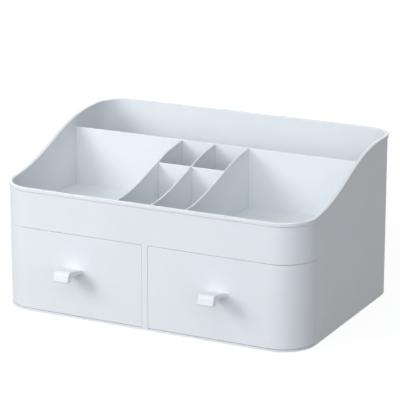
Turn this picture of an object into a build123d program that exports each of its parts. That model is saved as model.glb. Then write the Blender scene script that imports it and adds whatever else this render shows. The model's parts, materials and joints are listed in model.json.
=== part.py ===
from build123d import *
from math import atan2, cos, degrees, pi, radians, sin, sqrt, tan
import os

os.makedirs("parts", exist_ok=True)

# Overall body, in millimetres. X runs across, Y from front to back, Z up from the table.
WIDTH = 330.0
DEPTH = 233.0
FRONT_RIM_TOP = 127.3
FRONT_RADIUS = 34.0
REAR_RADIUS = 31.0
FOOT_PROUD = 0.8
HOUSING_WALL = 1.6

# Side sweep of the rim, seen from the side: level, a slope, level, with both bends rounded
SWEEP_START = 55.5
SWEEP_RUN = 100.0
SWEEP_RISE = 40.2
SWEEP_RADIUS = 205.0

# Tray that drops into the housing and hangs by its rim
TRAY_WALL = 1.2
TRAY_FLOOR = 1.8
TRAY_ABOVE_SEAM = 2.4
TRAY_CLEAR = 0.1
RIM_BAND = 3.3
RIM_PROUD = 0.9
RIM_GAP = 0.6
RIM_GAP_DEPTH = 0.6
RIM_EDGE_RADIUS = 0.7

# Dividers that stand in grooves in the tray floor
DIVIDER_THICK = 1.8
DIVIDER_CLEAR = 0.1
DIVIDER_EDGE_RADIUS = 0.6
GROOVE_DEPTH = 0.8
REAR_DIVIDER_Y = 152.0
LONG_DIVIDER_PITCH = 37.5
LONG_DIVIDER_SINK = 3.9
LONG_SLOPE_START = 37.0
LONG_SLOPE_RUN = 98.0
LONG_SLOPE_RISE = 28.7
CROSS_DIVIDER_Y = 100.0
CROSS_DIVIDER_SINK = 11.3

# Front frame of the housing: a post between the drawers, and a seam above them
POST_WIDTH = 6.2
POST_GAP = 0.25
DRAWER_FRONT_TOP = 86.3
SEAM_GAP = 0.5
DRAWER_GAP = 0.4

# Base plate inside the housing, with runner ribs for the drawers, four feet and the screws
BASE_THICK = 2.0
BASE_CLEAR = 0.1
RUNNER_HEIGHT = 1.0
RUNNER_WIDTH = 3.0
RUNNER_INSET = 26.0
FOOT_RADIUS = 7.0
FOOT_RECESS = 0.8
FOOT_CHAMFER = 0.25
FOOT_INSET = 29.0
SCREW_RADIUS = 1.3
SCREW_HEAD_RADIUS = 2.6
SCREW_HEAD_ANGLE = 90.0
SCREW_LENGTH = 10.0
SCREW_CLEAR = 0.05
SOCKET_RADIUS = 1.1
SOCKET_DEPTH = 0.7
BOSS_RADIUS = 3.4
BOSS_HEIGHT = 26.0
BOSS_CLEAR = 3.0

# Partition panel behind the post
COLUMN_DEPTH = 8.0
WEB_THICK = 2.4
PARTITION_CLEAR = 0.2

# Drawers
DRAWER_CLEAR = 0.6
RUNNER_CLEAR = 0.2
DRAWER_WALL = 1.6
DRAWER_FLOOR = 1.8
DRAWER_HEADROOM = 11.2
DRAWER_REAR_GAP = 6.0
DRAWER_INNER_RADIUS = 5.0
DRAWER_FLOOR_RADIUS = 2.5
DRAWER_EDGE_RADIUS = 0.5
FRONT_EDGE_RADIUS = 0.4

# Hooked pull, one on each drawer front, each held by a screw from inside
PULL_SHIFT = 5.9
PULL_BELOW_SEAM = 38.3
PULL_WIDTH = 16.8
PULL_REACH = 26.9
PULL_ROOT_HEIGHT = 3.4
PULL_RISE = 4.7
PULL_HOOK_DEPTH = 6.6
PULL_LIP_DROP = 4.2
PULL_LIP_LEAN = 3.2
PULL_LIP_THICK = 7.0
PULL_BEND = 5.0
PULL_INNER_BEND = 2.2
PULL_FLARE = 3.0
PULL_FLARE_REACH = 4.0
PULL_EDGE_RADIUS = 1.0
PULL_SCREW_RADIUS = 0.9
PULL_SCREW_LIFT = 1.9
PULL_SCREW_GRIP = 4.5
PAN_HEAD_RADIUS = 2.1
PAN_HEAD_HEIGHT = 1.6
PAN_HEAD_EDGE = 0.6

# Largest share that a fillet takes of the wall or corner that it lies in
FILLET_SHARE = 0.9

# Places worked out from the sizes above. The pulls stand out in front, so the body
# lies a little behind the origin, which is under the middle of the whole box.
BODY_Y = (PULL_REACH - RIM_PROUD) / 2
FRONT_Y = BODY_Y - DEPTH / 2
REAR_Y = BODY_Y + DEPTH / 2
JOINT_Y = FRONT_Y + FRONT_RADIUS
REAR_RIM_TOP = FRONT_RIM_TOP + SWEEP_RISE
BASE_TOP = FOOT_PROUD + BASE_THICK
SKIRT_BOTTOM = DRAWER_FRONT_TOP + SEAM_GAP
BASE_INSET = HOUSING_WALL + BASE_CLEAR
TRAY_INSET = HOUSING_WALL + TRAY_CLEAR
TRAY_INNER = TRAY_INSET + TRAY_WALL
TRAY_BOTTOM = SKIRT_BOTTOM + TRAY_ABOVE_SEAM
TRAY_FLOOR_TOP = TRAY_BOTTOM + TRAY_FLOOR
GROOVE_BOTTOM = TRAY_FLOOR_TOP - GROOVE_DEPTH
GROOVE_WIDTH = DIVIDER_THICK + DIVIDER_CLEAR
DIVIDER_EDGE = min(DIVIDER_EDGE_RADIUS, FILLET_SHARE * DIVIDER_THICK / 2)
REAR_DIVIDER_FRONT = FRONT_Y + REAR_DIVIDER_Y
LONG_FRONT = FRONT_Y + TRAY_INNER + DIVIDER_CLEAR
LONG_REAR = REAR_DIVIDER_FRONT - DIVIDER_CLEAR
LONG_FRONT_TOP = FRONT_RIM_TOP - LONG_DIVIDER_SINK
REAR_DIVIDER_TOP = LONG_FRONT_TOP + LONG_SLOPE_RISE
CROSS_DIVIDER_TOP = REAR_DIVIDER_TOP - CROSS_DIVIDER_SINK
CROSS_MIDDLE = FRONT_Y + CROSS_DIVIDER_Y
CROSS_HALF = LONG_DIVIDER_PITCH - DIVIDER_THICK / 2 - DIVIDER_CLEAR
LAP_HEIGHT = (TRAY_FLOOR_TOP + CROSS_DIVIDER_TOP) / 2
FRONT_THICK = HOUSING_WALL + DRAWER_CLEAR
FRONT_BOTTOM = BASE_TOP + DRAWER_GAP
FRONT_INNER_X = POST_WIDTH / 2 + POST_GAP
FRONT_WRAP_Y = JOINT_Y - DRAWER_GAP
BOX_INNER_X = POST_WIDTH / 2 + DRAWER_CLEAR
BOX_OUTER_X = WIDTH / 2 - FRONT_THICK
BOX_FRONT_Y = FRONT_Y + FRONT_THICK
BOX_REAR_Y = REAR_Y - HOUSING_WALL - DRAWER_REAR_GAP
BOX_BOTTOM = BASE_TOP + RUNNER_HEIGHT + RUNNER_CLEAR
BOX_FLOOR_TOP = BOX_BOTTOM + DRAWER_FLOOR
BOX_TOP = TRAY_BOTTOM - DRAWER_HEADROOM
HEAD_Y = BOX_FRONT_Y + DRAWER_WALL
COLUMN_WIDTH = POST_WIDTH - 2 * PARTITION_CLEAR
COLUMN_FRONT_Y = FRONT_Y + HOUSING_WALL + PARTITION_CLEAR
COLUMN_REAR_Y = REAR_Y - HOUSING_WALL - PARTITION_CLEAR
PARTITION_TOP = TRAY_BOTTOM - PARTITION_CLEAR
BOSS_REACH = REAR_RADIUS - HOUSING_WALL / 2 - BOSS_RADIUS
BOSS_X = WIDTH / 2 - REAR_RADIUS + BOSS_REACH * cos(pi / 4)
BOSS_Y = REAR_Y - REAR_RADIUS + BOSS_REACH * sin(pi / 4)
RUNNER_XS = (BOX_INNER_X + RUNNER_INSET, BOX_OUTER_X - RUNNER_INSET)
COLUMN_SCREW_YS = (COLUMN_FRONT_Y + COLUMN_DEPTH / 2, COLUMN_REAR_Y - COLUMN_DEPTH / 2)
BASE_SCREWS = [(-BOSS_X, BOSS_Y), (BOSS_X, BOSS_Y)] + [(0, y) for y in COLUMN_SCREW_YS]
SCREW_HEAD_HEIGHT = (SCREW_HEAD_RADIUS - SCREW_RADIUS) / tan(radians(SCREW_HEAD_ANGLE / 2))
FOOT_X = WIDTH / 2 - FOOT_INSET
FEET = {
    "foot_front_left": (-FOOT_X, FRONT_Y + FOOT_INSET),
    "foot_front_right": (FOOT_X, FRONT_Y + FOOT_INSET),
    "foot_rear_left": (-FOOT_X, REAR_Y - FOOT_INSET),
    "foot_rear_right": (FOOT_X, REAR_Y - FOOT_INSET),
}
PULL_X = (FRONT_INNER_X + WIDTH / 2) / 2 - PULL_SHIFT
PULL_BOTTOM = DRAWER_FRONT_TOP - PULL_BELOW_SEAM
PULL_SCREW_Z = PULL_BOTTOM + PULL_SCREW_LIFT
SCREW_HOLE = SCREW_RADIUS + SCREW_CLEAR
PULL_SCREW_HOLE = PULL_SCREW_RADIUS + SCREW_CLEAR
PULL_ROOT_TOP = PULL_BOTTOM + PULL_ROOT_HEIGHT
PULL_TOP = PULL_ROOT_TOP + PULL_RISE
LIP_Y = FRONT_Y - PULL_REACH
HOOK_BOTTOM = PULL_TOP - PULL_HOOK_DEPTH
LIP_BOTTOM = HOOK_BOTTOM - PULL_LIP_DROP
LIP_LEAN = atan2(PULL_LIP_LEAN, PULL_TOP - LIP_BOTTOM)
LIP_CORNER_Y = LIP_Y - PULL_EDGE_RADIUS * ((1 + sin(LIP_LEAN)) / cos(LIP_LEAN) - 1)
FLARE_ANGLE = degrees(atan2(PULL_FLARE_REACH, PULL_FLARE))
FLARE_DEPTH = PULL_FLARE_REACH * (1 + PULL_EDGE_RADIUS / PULL_FLARE)

# The drawer box's rear outer corner is a quarter circle that clears the screw boss behind it
BOSS_SIDE = BOX_OUTER_X - BOSS_X
BOSS_BACK = BOX_REAR_Y - BOSS_Y
BOSS_KEEP = BOSS_RADIUS + BOSS_CLEAR
CORNER_SUM = BOSS_SIDE + BOSS_BACK + BOSS_KEEP
BOX_REAR_RADIUS = CORNER_SUM + sqrt(CORNER_SUM**2 - BOSS_SIDE**2 - BOSS_BACK**2 + BOSS_KEEP**2)
RUNNER_LENGTH = BOX_REAR_Y - BOX_REAR_RADIUS - JOINT_Y
RUNNER_MIDDLE = JOINT_Y + RUNNER_LENGTH / 2


def body_plan(inset):
    """The body's plan outline, drawn in from the housing's outer face by the inset."""
    with BuildSketch() as plan:
        with Locations((0, BODY_Y)):
            Rectangle(WIDTH - 2 * inset, DEPTH - 2 * inset)
        fillet(plan.vertices().group_by(Axis.Y)[0], FRONT_RADIUS - inset)
        fillet(plan.vertices().group_by(Axis.Y)[-1], REAR_RADIUS - inset)
    return plan.sketch


def sweep_above(start, low, run, rise):
    """The space above a line that runs level, climbs and runs level again, seen from the side."""
    turn = atan2(rise, run)
    widest = FILLET_SHARE / 2 * run / cos(turn) / tan(turn / 2)
    near = FRONT_Y - DEPTH
    far = REAR_Y + DEPTH
    top = 2 * REAR_RIM_TOP
    with BuildSketch(Plane.YZ) as region:
        with BuildLine():
            climb = FilletPolyline(
                (near, low),
                (start, low),
                (start + run, low + rise),
                (far, low + rise),
                radius=min(SWEEP_RADIUS, widest),
            )
            Polyline(climb @ 1, (far, top), (near, top), climb @ 0)
        make_face()
    return region.sketch


def above_rim(drop):
    """The space above the rim line, lowered by the drop."""
    return sweep_above(FRONT_Y + SWEEP_START, FRONT_RIM_TOP - drop, SWEEP_RUN, SWEEP_RISE)


def upper_outline(faces):
    """The edges round the upward faces: those that only one such face has."""
    upward = faces.filter_by(lambda face: face.normal_at().Z > cos(pi / 4))
    upper = [face for face in upward if face.center().Z > TRAY_FLOOR_TOP + GROOVE_DEPTH]
    edges = [edge for face in upper for edge in face.edges()]
    return ShapeList(edge for edge in edges if sum(edge.is_same(other) for other in edges) == 1)


def export_piece(piece, label):
    """Label a finished piece and write it as its own file."""
    piece.part.label = label
    export_step(piece.part, f"parts/{label}.step")


# Shadow gap under the rim: a ring that leaves a step round the outer edge of the housing's top
with BuildPart() as rim_gap:
    with BuildSketch(Plane.XY.offset(FRONT_RIM_TOP / 2)):
        add(body_plan(-RIM_PROUD))
        add(body_plan(RIM_GAP_DEPTH), mode=Mode.SUBTRACT)
    extrude(amount=REAR_RIM_TOP)
    extrude(above_rim(RIM_BAND + RIM_GAP), amount=WIDTH, both=True, mode=Mode.INTERSECT)

# Housing: side walls, back and front frame in one shell, with screw bosses in the rear corners
with BuildPart() as housing:
    with BuildSketch(Plane.XY.offset(FOOT_PROUD)):
        add(body_plan(0))
        add(body_plan(HOUSING_WALL), mode=Mode.SUBTRACT)
    extrude(amount=REAR_RIM_TOP)
    with BuildSketch(Plane.XY.offset(BASE_TOP)):
        with Locations((0, FRONT_Y)):
            with GridLocations(POST_WIDTH + WIDTH, 0, 2, 1):
                Rectangle(WIDTH, 2 * FRONT_RADIUS)
    extrude(amount=SKIRT_BOTTOM - BASE_TOP, mode=Mode.SUBTRACT)
    extrude(above_rim(RIM_BAND), amount=WIDTH, both=True, mode=Mode.SUBTRACT)
    add(rim_gap.part, mode=Mode.SUBTRACT)
    with BuildSketch(Plane.XY.offset(BASE_TOP)):
        with Locations((-BOSS_X, BOSS_Y), (BOSS_X, BOSS_Y)):
            Circle(BOSS_RADIUS)
            Circle(SCREW_HOLE, mode=Mode.SUBTRACT)
    extrude(amount=BOSS_HEIGHT)
export_piece(housing, "housing")

# Rim band: the thick overhanging lip, between the rim line and the same line lowered
with BuildPart() as rim_band:
    with BuildSketch(Plane.XY.offset(FRONT_RIM_TOP / 2)):
        add(body_plan(-RIM_PROUD))
        add(body_plan(TRAY_INNER), mode=Mode.SUBTRACT)
    extrude(amount=REAR_RIM_TOP)
    extrude(above_rim(RIM_BAND), amount=WIDTH, both=True, mode=Mode.INTERSECT)

# Tray: floor, inner wall and rim band in one, with grooves for the dividers
with BuildPart() as tray:
    with BuildSketch(Plane.XY.offset(TRAY_BOTTOM)):
        add(body_plan(TRAY_INSET))
    extrude(amount=REAR_RIM_TOP)
    with BuildSketch(Plane.XY.offset(TRAY_FLOOR_TOP)):
        add(body_plan(TRAY_INNER))
    extrude(amount=REAR_RIM_TOP, mode=Mode.SUBTRACT)
    add(rim_band.part)
    extrude(above_rim(0), amount=WIDTH, both=True, mode=Mode.SUBTRACT)
    fillet(upper_outline(tray.faces()), RIM_EDGE_RADIUS)
    with BuildSketch(Plane.XY.offset(GROOVE_BOTTOM)):
        with Locations((0, REAR_DIVIDER_FRONT)):
            Rectangle(WIDTH - 2 * TRAY_INNER, GROOVE_WIDTH, align=(Align.CENTER, Align.MIN))
        with Locations((0, FRONT_Y + TRAY_INNER)):
            with GridLocations(LONG_DIVIDER_PITCH, 0, 3, 1):
                Rectangle(GROOVE_WIDTH, REAR_DIVIDER_Y - TRAY_INNER, align=(Align.CENTER, Align.MIN))
        with Locations((0, CROSS_MIDDLE)):
            Rectangle(2 * LONG_DIVIDER_PITCH, GROOVE_WIDTH)
    extrude(amount=GROOVE_DEPTH, mode=Mode.SUBTRACT)
export_piece(tray, "tray")

# Rear divider: a level panel across the whole tray
with BuildPart() as rear_divider:
    with BuildSketch(Plane.XY.offset(GROOVE_BOTTOM)):
        with Locations((0, REAR_DIVIDER_FRONT)):
            Rectangle(
                WIDTH - 2 * TRAY_INNER - 2 * DIVIDER_CLEAR,
                DIVIDER_THICK,
                align=(Align.CENTER, Align.MIN),
            )
    extrude(amount=REAR_DIVIDER_TOP - GROOVE_BOTTOM)
    fillet(upper_outline(rear_divider.faces()).filter_by(Axis.X), DIVIDER_EDGE)
export_piece(rear_divider, "rear_divider")

# Long dividers: three panels from the front wall to the rear divider, with swept top edges.
# The centre one is slotted from above, and the cross divider from below, so that they lap.
above_long_dividers = sweep_above(
    FRONT_Y + LONG_SLOPE_START, LONG_FRONT_TOP, LONG_SLOPE_RUN, LONG_SLOPE_RISE
)
for name, column in {"left": -1, "centre": 0, "right": 1}.items():
    with BuildPart() as long_divider:
        with BuildSketch(Plane.XY.offset(GROOVE_BOTTOM)):
            with Locations((column * LONG_DIVIDER_PITCH, LONG_FRONT)):
                Rectangle(DIVIDER_THICK, LONG_REAR - LONG_FRONT, align=(Align.CENTER, Align.MIN))
        extrude(amount=REAR_RIM_TOP)
        extrude(above_long_dividers, amount=WIDTH, both=True, mode=Mode.SUBTRACT)
        top_edges = upper_outline(long_divider.faces())
        fillet(top_edges - top_edges.filter_by(Axis.X), DIVIDER_EDGE)
        if column == 0:
            with BuildSketch(Plane.XY.offset(LAP_HEIGHT)):
                with Locations((0, CROSS_MIDDLE)):
                    Rectangle(2 * DIVIDER_THICK, GROOVE_WIDTH)
            extrude(amount=REAR_RIM_TOP, mode=Mode.SUBTRACT)
    export_piece(long_divider, f"long_divider_{name}")

# Cross divider: a short level panel between the outer two long dividers
with BuildPart() as cross_divider:
    with BuildSketch(Plane.XY.offset(GROOVE_BOTTOM)):
        with Locations((0, CROSS_MIDDLE)):
            Rectangle(2 * CROSS_HALF, DIVIDER_THICK)
    extrude(amount=CROSS_DIVIDER_TOP - GROOVE_BOTTOM)
    fillet(upper_outline(cross_divider.faces()).filter_by(Axis.X), DIVIDER_EDGE)
    with BuildSketch(Plane.XY.offset(GROOVE_BOTTOM)):
        with Locations((0, CROSS_MIDDLE)):
            Rectangle(GROOVE_WIDTH, 2 * DIVIDER_THICK)
    extrude(amount=LAP_HEIGHT - GROOVE_BOTTOM, mode=Mode.SUBTRACT)
export_piece(cross_divider, "cross_divider")

# Base plate: a flat plate with runner ribs, pockets for the feet and countersunk screw holes
with BuildPart() as base_plate:
    with BuildSketch(Plane.XY.offset(FOOT_PROUD)):
        add(body_plan(BASE_INSET))
    extrude(amount=BASE_THICK)
    with BuildSketch(Plane.XY.offset(BASE_TOP)):
        with Locations(*[(side * x, RUNNER_MIDDLE) for side in (-1, 1) for x in RUNNER_XS]):
            SlotOverall(RUNNER_LENGTH, RUNNER_WIDTH, rotation=90)
    extrude(amount=RUNNER_HEIGHT)
    with BuildSketch(Plane.XY.offset(FOOT_PROUD)):
        with Locations(*FEET.values()):
            Circle(FOOT_RADIUS + BASE_CLEAR)
    extrude(amount=FOOT_RECESS, mode=Mode.SUBTRACT)
    with Locations(*[Location((x, y, FOOT_PROUD), (180, 0, 0)) for x, y in BASE_SCREWS]):
        CounterSinkHole(
            SCREW_HOLE,
            SCREW_HEAD_RADIUS + SCREW_CLEAR,
            BASE_THICK,
            SCREW_HEAD_ANGLE,
        )
export_piece(base_plate, "base_plate")

# Feet: four soft pads in the pockets of the base plate
for name, place in FEET.items():
    with BuildPart() as foot:
        with BuildSketch():
            with Locations(place):
                Circle(FOOT_RADIUS)
        extrude(amount=FOOT_PROUD + FOOT_RECESS)
        chamfer(foot.edges().group_by(Axis.Z)[0], FOOT_CHAMFER)
    export_piece(foot, name)

# Base screws: countersunk, flush with the base plate, with hexagon sockets
with BuildPart() as base_screws:
    with BuildSketch(Plane.XY.offset(FOOT_PROUD)):
        with Locations(*BASE_SCREWS):
            Circle(SCREW_RADIUS)
    extrude(amount=SCREW_LENGTH)
    with Locations(*[(x, y, FOOT_PROUD) for x, y in BASE_SCREWS]):
        Cone(
            SCREW_HEAD_RADIUS,
            SCREW_RADIUS,
            SCREW_HEAD_HEIGHT,
            align=(Align.CENTER, Align.CENTER, Align.MIN),
        )
    with BuildSketch(Plane.XY.offset(FOOT_PROUD)):
        with Locations(*BASE_SCREWS):
            RegularPolygon(SOCKET_RADIUS, 6)
    extrude(amount=SOCKET_DEPTH, mode=Mode.SUBTRACT)
export_piece(base_screws, "base_screws")

# Centre partition: a web between two columns, screwed down to the base plate
with BuildPart() as centre_partition:
    with BuildSketch(Plane.XY.offset(BASE_TOP)):
        with Locations((0, COLUMN_FRONT_Y)):
            Rectangle(COLUMN_WIDTH, COLUMN_DEPTH, align=(Align.CENTER, Align.MIN))
            Rectangle(WEB_THICK, COLUMN_REAR_Y - COLUMN_FRONT_Y, align=(Align.CENTER, Align.MIN))
        with Locations((0, COLUMN_REAR_Y)):
            Rectangle(COLUMN_WIDTH, COLUMN_DEPTH, align=(Align.CENTER, Align.MAX))
        with Locations(*[(0, y) for y in COLUMN_SCREW_YS]):
            Circle(SCREW_HOLE, mode=Mode.SUBTRACT)
    extrude(amount=PARTITION_TOP - BASE_TOP)
export_piece(centre_partition, "centre_partition")


def drawer_plan(inset):
    """The right drawer box's plan outline, drawn in from its outer face by the inset."""
    with BuildSketch() as plan:
        with Locations((BOX_INNER_X + inset, BOX_FRONT_Y + inset)):
            Rectangle(
                BOX_OUTER_X - BOX_INNER_X - 2 * inset,
                BOX_REAR_Y - BOX_FRONT_Y - 2 * inset,
                align=(Align.MIN, Align.MIN),
            )
        fillet(plan.vertices().group_by(Axis.X)[0], DRAWER_INNER_RADIUS - inset)
        outer_front = plan.vertices().sort_by_distance((BOX_OUTER_X, BOX_FRONT_Y))[0]
        fillet(outer_front, FRONT_RADIUS - FRONT_THICK - inset)
        outer_rear = plan.vertices().sort_by_distance((BOX_OUTER_X, BOX_REAR_Y))[0]
        fillet(outer_rear, BOX_REAR_RADIUS - inset)
    return plan.sketch


# Drawer box, right side: an open box with a hole in its front for the pull's screw
with BuildPart() as drawer_box:
    with BuildSketch(Plane.XY.offset(BOX_BOTTOM)):
        add(drawer_plan(0))
    extrude(amount=BOX_TOP - BOX_BOTTOM)
    with BuildSketch(Plane.XY.offset(BOX_FLOOR_TOP)):
        add(drawer_plan(DRAWER_WALL))
    extrude(amount=BOX_TOP, mode=Mode.SUBTRACT)
    floor_edges = drawer_box.edges().filter_by_position(Axis.Z, BOX_FLOOR_TOP, BOX_FLOOR_TOP)
    fillet(floor_edges, DRAWER_FLOOR_RADIUS)
    fillet(drawer_box.edges().group_by(Axis.Z)[-1], DRAWER_EDGE_RADIUS)
    with BuildSketch(Plane.XZ.offset(-HEAD_Y)):
        with Locations((PULL_X, PULL_SCREW_Z)):
            Circle(PULL_SCREW_HOLE)
    extrude(amount=DRAWER_WALL, mode=Mode.SUBTRACT)

# Drawer front, right side: a panel flush with the housing that wraps round its front corner
with BuildPart() as drawer_front:
    with BuildSketch(Plane.XY.offset(FRONT_BOTTOM)):
        with Locations((FRONT_INNER_X, FRONT_WRAP_Y)):
            Rectangle(WIDTH, DEPTH, align=(Align.MIN, Align.MAX))
        add(body_plan(0), mode=Mode.INTERSECT)
    extrude(amount=DRAWER_FRONT_TOP - FRONT_BOTTOM)
    level_edges = drawer_front.edges().group_by(Axis.Z)
    upright_edges = drawer_front.edges().filter_by(Axis.Z).sort_by_distance((FRONT_INNER_X, FRONT_Y))
    fillet(level_edges[0] + level_edges[-1] + upright_edges[:1], FRONT_EDGE_RADIUS)
    with BuildSketch():
        add(body_plan(FRONT_THICK))
    extrude(amount=REAR_RIM_TOP, mode=Mode.SUBTRACT)
    with BuildSketch(Plane.XZ.offset(-BOX_FRONT_Y)):
        with Locations((PULL_X, PULL_SCREW_Z)):
            Circle(PULL_SCREW_HOLE)
    extrude(amount=FRONT_THICK, mode=Mode.SUBTRACT)

# Side profile of the right pull: a rising arm that bends down to a thick lip, which leans outward
with BuildSketch(Plane.YZ.offset(PULL_X)) as pull_profile:
    with BuildLine():
        FilletPolyline(
            (FRONT_Y, PULL_ROOT_TOP),
            (LIP_CORNER_Y + PULL_LIP_LEAN, PULL_TOP),
            (LIP_CORNER_Y, LIP_BOTTOM),
            (LIP_Y + PULL_LIP_THICK, LIP_BOTTOM),
            (LIP_Y + PULL_LIP_THICK, HOOK_BOTTOM),
            (FRONT_Y, PULL_BOTTOM),
            radius=[
                0,
                PULL_BEND,
                PULL_EDGE_RADIUS,
                PULL_EDGE_RADIUS,
                PULL_INNER_BEND,
                0,
            ],
            close=True,
        )
    make_face()

# Root of the right pull: the same profile, but widening towards the drawer front
with BuildPart() as pull_root:
    with BuildSketch(Plane.XY.offset(PULL_BOTTOM)):
        with Locations((PULL_X, FRONT_Y)):
            Trapezoid(
                PULL_WIDTH + 2 * PULL_FLARE,
                FLARE_DEPTH,
                FLARE_ANGLE,
                rotation=180,
                align=(Align.CENTER, Align.MIN),
            )
    extrude(amount=PULL_TOP - PULL_BOTTOM)
    extrude(pull_profile.sketch, amount=PULL_WIDTH + PULL_FLARE, both=True, mode=Mode.INTERSECT)

# Pull, right side: a tongue of that profile with soft edges, its root, and a hole for the screw
with BuildPart() as pull:
    extrude(pull_profile.sketch, amount=PULL_WIDTH / 2, both=True)
    cheeks = pull.faces().filter_by(Axis.X)
    fillet(cheeks.edges() - cheeks.edges().group_by(Axis.Y)[-1], FILLET_SHARE * PULL_EDGE_RADIUS)
    add(pull_root.part)
    with BuildSketch(Plane.XZ.offset(-FRONT_Y)):
        with Locations((PULL_X, PULL_SCREW_Z)):
            Circle(PULL_SCREW_HOLE)
    extrude(amount=PULL_SCREW_GRIP + SCREW_CLEAR, mode=Mode.SUBTRACT)

# Pull screw, right side: a pan head inside the drawer, with its shank through both walls
with BuildPart() as pull_screw:
    with BuildSketch(Plane.XZ.offset(-HEAD_Y)):
        with Locations((PULL_X, PULL_SCREW_Z)):
            Circle(PULL_SCREW_RADIUS)
    extrude(amount=DRAWER_WALL + FRONT_THICK + PULL_SCREW_GRIP)
    with BuildSketch(Plane.XZ.offset(-HEAD_Y)):
        with Locations((PULL_X, PULL_SCREW_Z)):
            Circle(PAN_HEAD_RADIUS)
    extrude(amount=-PAN_HEAD_HEIGHT)
    fillet(pull_screw.edges().group_by(Axis.Y)[-1], PAN_HEAD_EDGE)
    with BuildSketch(Plane.XZ.offset(-HEAD_Y - PAN_HEAD_HEIGHT)):
        with Locations((PULL_X, PULL_SCREW_Z)):
            RegularPolygon(SOCKET_RADIUS, 6)
    extrude(amount=SOCKET_DEPTH, mode=Mode.SUBTRACT)

# The left drawer is the right one mirrored
for name, right_piece in {
    "drawer_box": drawer_box,
    "drawer_front": drawer_front,
    "pull": pull,
    "pull_screw": pull_screw,
}.items():
    export_piece(right_piece, f"{name}_right")
    with BuildPart() as left_piece:
        mirror(right_piece.part, about=Plane.YZ)
    export_piece(left_piece, f"{name}_left")
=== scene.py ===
import json
from math import cos, pi, radians, tan

import bmesh
import bpy
from mathutils import Euler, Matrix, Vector

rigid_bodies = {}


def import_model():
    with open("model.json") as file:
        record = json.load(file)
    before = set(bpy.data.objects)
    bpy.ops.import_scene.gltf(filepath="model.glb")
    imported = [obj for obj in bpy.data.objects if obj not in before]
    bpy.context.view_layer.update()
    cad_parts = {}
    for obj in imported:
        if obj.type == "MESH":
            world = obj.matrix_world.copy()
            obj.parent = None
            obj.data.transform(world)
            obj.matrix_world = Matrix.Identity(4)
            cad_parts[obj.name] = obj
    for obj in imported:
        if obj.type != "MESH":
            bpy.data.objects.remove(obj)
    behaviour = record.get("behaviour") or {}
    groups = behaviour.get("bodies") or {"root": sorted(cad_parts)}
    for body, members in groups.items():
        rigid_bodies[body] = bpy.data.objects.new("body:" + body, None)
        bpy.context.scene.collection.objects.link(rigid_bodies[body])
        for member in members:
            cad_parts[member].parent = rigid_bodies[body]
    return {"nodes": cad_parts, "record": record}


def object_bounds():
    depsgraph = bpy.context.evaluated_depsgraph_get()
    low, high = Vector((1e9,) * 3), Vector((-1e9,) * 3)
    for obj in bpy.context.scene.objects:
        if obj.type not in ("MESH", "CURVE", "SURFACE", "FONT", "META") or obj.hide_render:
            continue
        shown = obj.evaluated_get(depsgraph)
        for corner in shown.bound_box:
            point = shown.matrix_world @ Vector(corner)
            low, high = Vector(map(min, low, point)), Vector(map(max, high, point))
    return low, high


for startup in list(bpy.context.scene.objects):
    bpy.data.objects.remove(startup)

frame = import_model()
cad_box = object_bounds()

# Camera, in the part's own frame: its place in metres, its tilt up from straight down and its turn
# to the left in degrees, and its sensor and lens in millimetres
CAMERA_PLACE = (0.9144, -1.8006, 0.6856)
CAMERA_TILT = 73.97
CAMERA_TURN = 26.73
CAMERA_SENSOR = 36.0
CAMERA_LENS = 189.44

# Lamps: each one's strength is what a surface in the object's middle gets when it faces the lamp.
# Height and turn are its direction in degrees, and the spread is how wide it looks from there.
# The key is at the front left and the top lamp overhead. The corner lamp is weak and stands close
# to the right front corner. The rear lamp stands behind on the left and lights the back.
LAMPS = {
    "key": dict(strength=1.19, height=24.5, turn=-38, distance=1.3, spread=27, colour=(1, 0.99, 0.98)),
    "top": dict(strength=0.25, height=88, turn=0, distance=1.8, spread=60, colour=(1, 1, 1)),
    "corner": dict(strength=0.1, height=8, turn=48, distance=0.486, spread=27, colour=(0.9, 0.96, 1)),
    "rear": dict(strength=0.9, height=14, turn=-150, distance=1.6, spread=45, colour=(0.96, 0.98, 1)),
}

# Ambient light: an even part, and a broad part that fades out to its reach round its middle.
# The middle's height and turn, and the reach, are in degrees.
AMBIENT_EVEN = 0.17
AMBIENT_BROAD = 1.51
AMBIENT_HEIGHT = 20
AMBIENT_TURN = 12
AMBIENT_REACH = 60
AMBIENT_COLOUR = (0.95, 0.975, 1.0)
BACKGROUND_WHITE = 1.0

# Floor: a pale matt disc that shows white, with the object's shadow on it. The bounce is its grey
# for the light that it throws back. The camera and reflections see the shown grey and the glow.
FLOOR_RADIUS = 6.0
FLOOR_SIDES = 96
FLOOR_BOUNCE = 0.3
FLOOR_SHOWN = 0.2
FLOOR_GLOW = 0.88

# Colours: the cool white of the body, a plainer white inside, rubber and zinc
BODY_WHITE = (0.80, 0.835, 0.865)
INNER_WHITE = (0.79, 0.82, 0.845)
RUBBER_GREY = (0.5, 0.51, 0.53)
ZINC_GREY = (0.62, 0.62, 0.64)

# Kinds of surface: cloud and grain sizes and the relief's depth in metres, tints as shares
# of the colour, and what the shader needs besides
PLASTIC = dict(cloud=0.045, tints=(0.985, 1.01), grain=0.0004, depth=0.00003, relief=0.25, IOR=1.49)
RUBBER = dict(cloud=0.002, tints=(0.9, 1.1), grain=0.0005, depth=0.00008, relief=0.4, IOR=1.45)
ZINC = dict(cloud=0.0012, tints=(0.88, 1.06), grain=0.0003, depth=0.00002, relief=0.2, Metallic=1.0)

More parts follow.
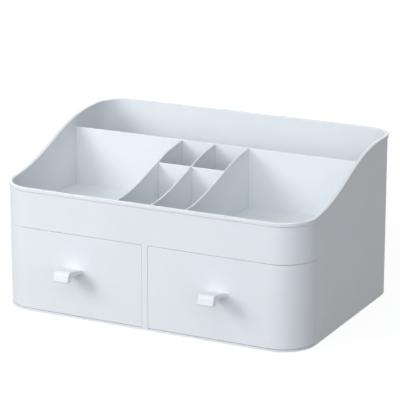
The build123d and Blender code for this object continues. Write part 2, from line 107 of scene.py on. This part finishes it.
# Finishes by material slot: each has its colour, the range of its roughness and its kind
FINISHES = {
    "housing_plastic": dict(colour=BODY_WHITE, gloss=(0.38, 0.46), **PLASTIC),
    "tray_plastic": dict(colour=BODY_WHITE, gloss=(0.36, 0.44), **PLASTIC),
    "drawer_plastic": dict(colour=BODY_WHITE, gloss=(0.38, 0.46), **PLASTIC),
    "drawer_box_plastic": dict(colour=INNER_WHITE, gloss=(0.46, 0.54), **PLASTIC),
    "foot_rubber": dict(colour=RUBBER_GREY, gloss=(0.7, 0.85), **RUBBER),
    "screw_steel": dict(colour=ZINC_GREY, gloss=(0.22, 0.42), **ZINC),
}

# Noise: its layers of detail, its usual middle range, and how much finer gloss is than colour
CLOUD_DETAIL = 4
GRAIN_DETAIL = 3
NOISE_LOW = 0.3
NOISE_HIGH = 0.7
GLOSS_FINER = 3


def new_material(name):
    """A material whose node tree is empty, and that tree."""
    material = bpy.data.materials.new(name)
    material.use_nodes = True
    material.node_tree.nodes.clear()
    return material, material.node_tree


def add_node(tree, kind, **inputs):
    """Add a node and set the inputs that are given by name, with spaces as underscores."""
    node = tree.nodes.new(kind)
    for key, value in inputs.items():
        node.inputs[key.replace("_", " ")].default_value = value
    return node


def noise(tree, size, detail):
    """A noise texture in object space whose features are about as large as the size."""
    place = tree.nodes.new("ShaderNodeTexCoord")
    texture = add_node(tree, "ShaderNodeTexNoise", Scale=1 / size, Detail=detail)
    tree.links.new(place.outputs["Object"], texture.inputs["Vector"])
    return texture.outputs["Fac"]


def between(tree, factor, low, high):
    """The factor, from its usual middle range, spread between two values."""
    spread = add_node(
        tree, "ShaderNodeMapRange", From_Min=NOISE_LOW, From_Max=NOISE_HIGH, To_Min=low, To_Max=high
    )
    tree.links.new(factor, spread.inputs["Value"])
    return spread.outputs["Result"]


def tinted(tree, factor, colour, tints):
    """The colour, darker or lighter by the tints as the factor goes from zero to one."""
    mix = tree.nodes.new("ShaderNodeMix")
    mix.data_type = "RGBA"
    for name, tint in zip("AB", tints):
        mix.inputs[name].default_value = (*(tint * channel for channel in colour), 1)
    tree.links.new(factor, mix.inputs["Factor"])
    return mix.outputs["Result"]


def finish(name, colour, gloss, cloud, tints, grain, depth, relief, **constants):
    """A material with faint clouds in its colour, uneven gloss and a fine grain in relief."""
    material, tree = new_material(name)
    shader = add_node(tree, "ShaderNodeBsdfPrincipled", **constants)
    bump = add_node(tree, "ShaderNodeBump", Strength=relief, Distance=depth)
    output = tree.nodes.new("ShaderNodeOutputMaterial")
    clouds = between(tree, noise(tree, cloud, CLOUD_DETAIL), 0, 1)
    sheen = between(tree, noise(tree, cloud / GLOSS_FINER, CLOUD_DETAIL), *gloss)
    tree.links.new(tinted(tree, clouds, colour, tints), shader.inputs["Base Color"])
    tree.links.new(sheen, shader.inputs["Roughness"])
    tree.links.new(noise(tree, grain, GRAIN_DETAIL), bump.inputs["Height"])
    tree.links.new(bump.outputs["Normal"], shader.inputs["Normal"])
    tree.links.new(shader.outputs["BSDF"], output.inputs["Surface"])
    return material


def disc(name, radius, sides):
    """A flat disc at floor level."""
    mesh = bpy.data.meshes.new(name)
    shape = bmesh.new()
    bmesh.ops.create_circle(shape, cap_ends=True, segments=sides, radius=radius)
    shape.to_mesh(mesh)
    shape.free()
    plate = bpy.data.objects.new(name, mesh)
    bpy.context.scene.collection.objects.link(plate)
    return plate


def seen_directly(tree):
    """One for rays from the camera, reflections and transmissions, else zero."""
    path = tree.nodes.new("ShaderNodeLightPath")
    total = path.outputs["Is Camera Ray"]
    for name in ("Is Glossy Ray", "Is Transmission Ray"):
        either = tree.nodes.new("ShaderNodeMath")
        either.operation = "MAXIMUM"
        tree.links.new(total, either.inputs[0])
        tree.links.new(path.outputs[name], either.inputs[1])
        total = either.outputs[0]
    return total


def studio_floor():
    """Pale floor: plain matt for bounced light, and white with soft shadows where it is seen."""
    plate = disc("floor", FLOOR_RADIUS, FLOOR_SIDES)
    material, tree = new_material("floor_pale")
    bounce = add_node(tree, "ShaderNodeBsdfDiffuse", Color=(FLOOR_BOUNCE,) * 3 + (1,))
    shown = add_node(tree, "ShaderNodeBsdfDiffuse", Color=(FLOOR_SHOWN,) * 3 + (1,))
    glow = add_node(tree, "ShaderNodeEmission", Strength=FLOOR_GLOW)
    both = tree.nodes.new("ShaderNodeAddShader")
    mix = tree.nodes.new("ShaderNodeMixShader")
    output = tree.nodes.new("ShaderNodeOutputMaterial")
    tree.links.new(shown.outputs[0], both.inputs[0])
    tree.links.new(glow.outputs[0], both.inputs[1])
    tree.links.new(seen_directly(tree), mix.inputs[0])
    tree.links.new(bounce.outputs[0], mix.inputs[1])
    tree.links.new(both.outputs[0], mix.inputs[2])
    tree.links.new(mix.outputs[0], output.inputs["Surface"])
    plate.data.materials.append(material)


def facing(height, turn):
    """The rotation of a thing that looks at the object from a height and a turn, in degrees."""
    return Euler((radians(90 - height), 0, radians(turn)))


def toward(height, turn):
    """The direction at a height above the level and a turn to the right of the object's front."""
    return facing(height, turn).to_matrix() @ Vector((0, 0, 1))


def studio_world():
    """Soft ambient light that shows as a white background."""
    world = bpy.data.worlds.new("studio")
    world.use_nodes = True
    tree = world.node_tree
    tree.nodes.clear()
    place = tree.nodes.new("ShaderNodeTexCoord")
    closeness = tree.nodes.new("ShaderNodeVectorMath")
    closeness.operation = "DOT_PRODUCT"
    closeness.inputs[1].default_value = toward(AMBIENT_HEIGHT, AMBIENT_TURN)
    tree.links.new(place.outputs["Generated"], closeness.inputs[0])
    level = add_node(
        tree,
        "ShaderNodeMapRange",
        From_Min=cos(radians(AMBIENT_REACH)),
        To_Min=AMBIENT_EVEN,
        To_Max=AMBIENT_EVEN + AMBIENT_BROAD,
    )
    tree.links.new(closeness.outputs["Value"], level.inputs["Value"])
    ambient = add_node(tree, "ShaderNodeBackground", Color=(*AMBIENT_COLOUR, 1))
    tree.links.new(level.outputs["Result"], ambient.inputs["Strength"])
    white = add_node(tree, "ShaderNodeBackground", Color=(1, 1, 1, 1), Strength=BACKGROUND_WHITE)
    mix = tree.nodes.new("ShaderNodeMixShader")
    output = tree.nodes.new("ShaderNodeOutputWorld")
    tree.links.new(seen_directly(tree), mix.inputs[0])
    tree.links.new(ambient.outputs[0], mix.inputs[1])
    tree.links.new(white.outputs[0], mix.inputs[2])
    tree.links.new(mix.outputs[0], output.inputs["Surface"])
    bpy.context.scene.world = world


def soft_lamp(name, strength, height, turn, distance, spread, colour):
    """A round soft box that faces the object's middle from a height and a turn, in degrees.

    Its power is what a disc of this size needs to give the strength at this distance.
    """
    half_spread = radians(spread / 2)
    lamp = bpy.data.lights.new(name, "AREA")
    lamp.shape = "DISK"
    lamp.size = 2 * distance * tan(half_spread)
    lamp.energy = strength * pi * (distance / cos(half_spread)) ** 2
    lamp.color = colour
    holder = bpy.data.objects.new(name, lamp)
    middle = (Vector(cad_box[0]) + Vector(cad_box[1])) / 2
    holder.location = middle + distance * toward(height, turn)
    holder.rotation_euler = facing(height, turn)
    bpy.context.scene.collection.objects.link(holder)


def studio_camera():
    """The camera at the fitted viewpoint."""
    camera = bpy.data.cameras.new("camera")
    camera.sensor_width = CAMERA_SENSOR
    camera.lens = CAMERA_LENS
    viewpoint = bpy.data.objects.new("camera", camera)
    viewpoint.location = CAMERA_PLACE
    viewpoint.rotation_euler = (radians(CAMERA_TILT), 0, radians(CAMERA_TURN))
    bpy.context.scene.collection.objects.link(viewpoint)
    bpy.context.scene.camera = viewpoint


finishes = {slot: finish(slot, **setting) for slot, setting in FINISHES.items()}
for subpart in frame["record"]["subparts"]:
    node = frame["nodes"][subpart["node"]]
    for slot in node.material_slots:
        slot.material = finishes[subpart["material_slot"]]

studio_floor()
studio_world()
for name, setting in LAMPS.items():
    soft_lamp(name, **setting)
studio_camera()
bpy.context.scene.view_settings.view_transform = "Standard"
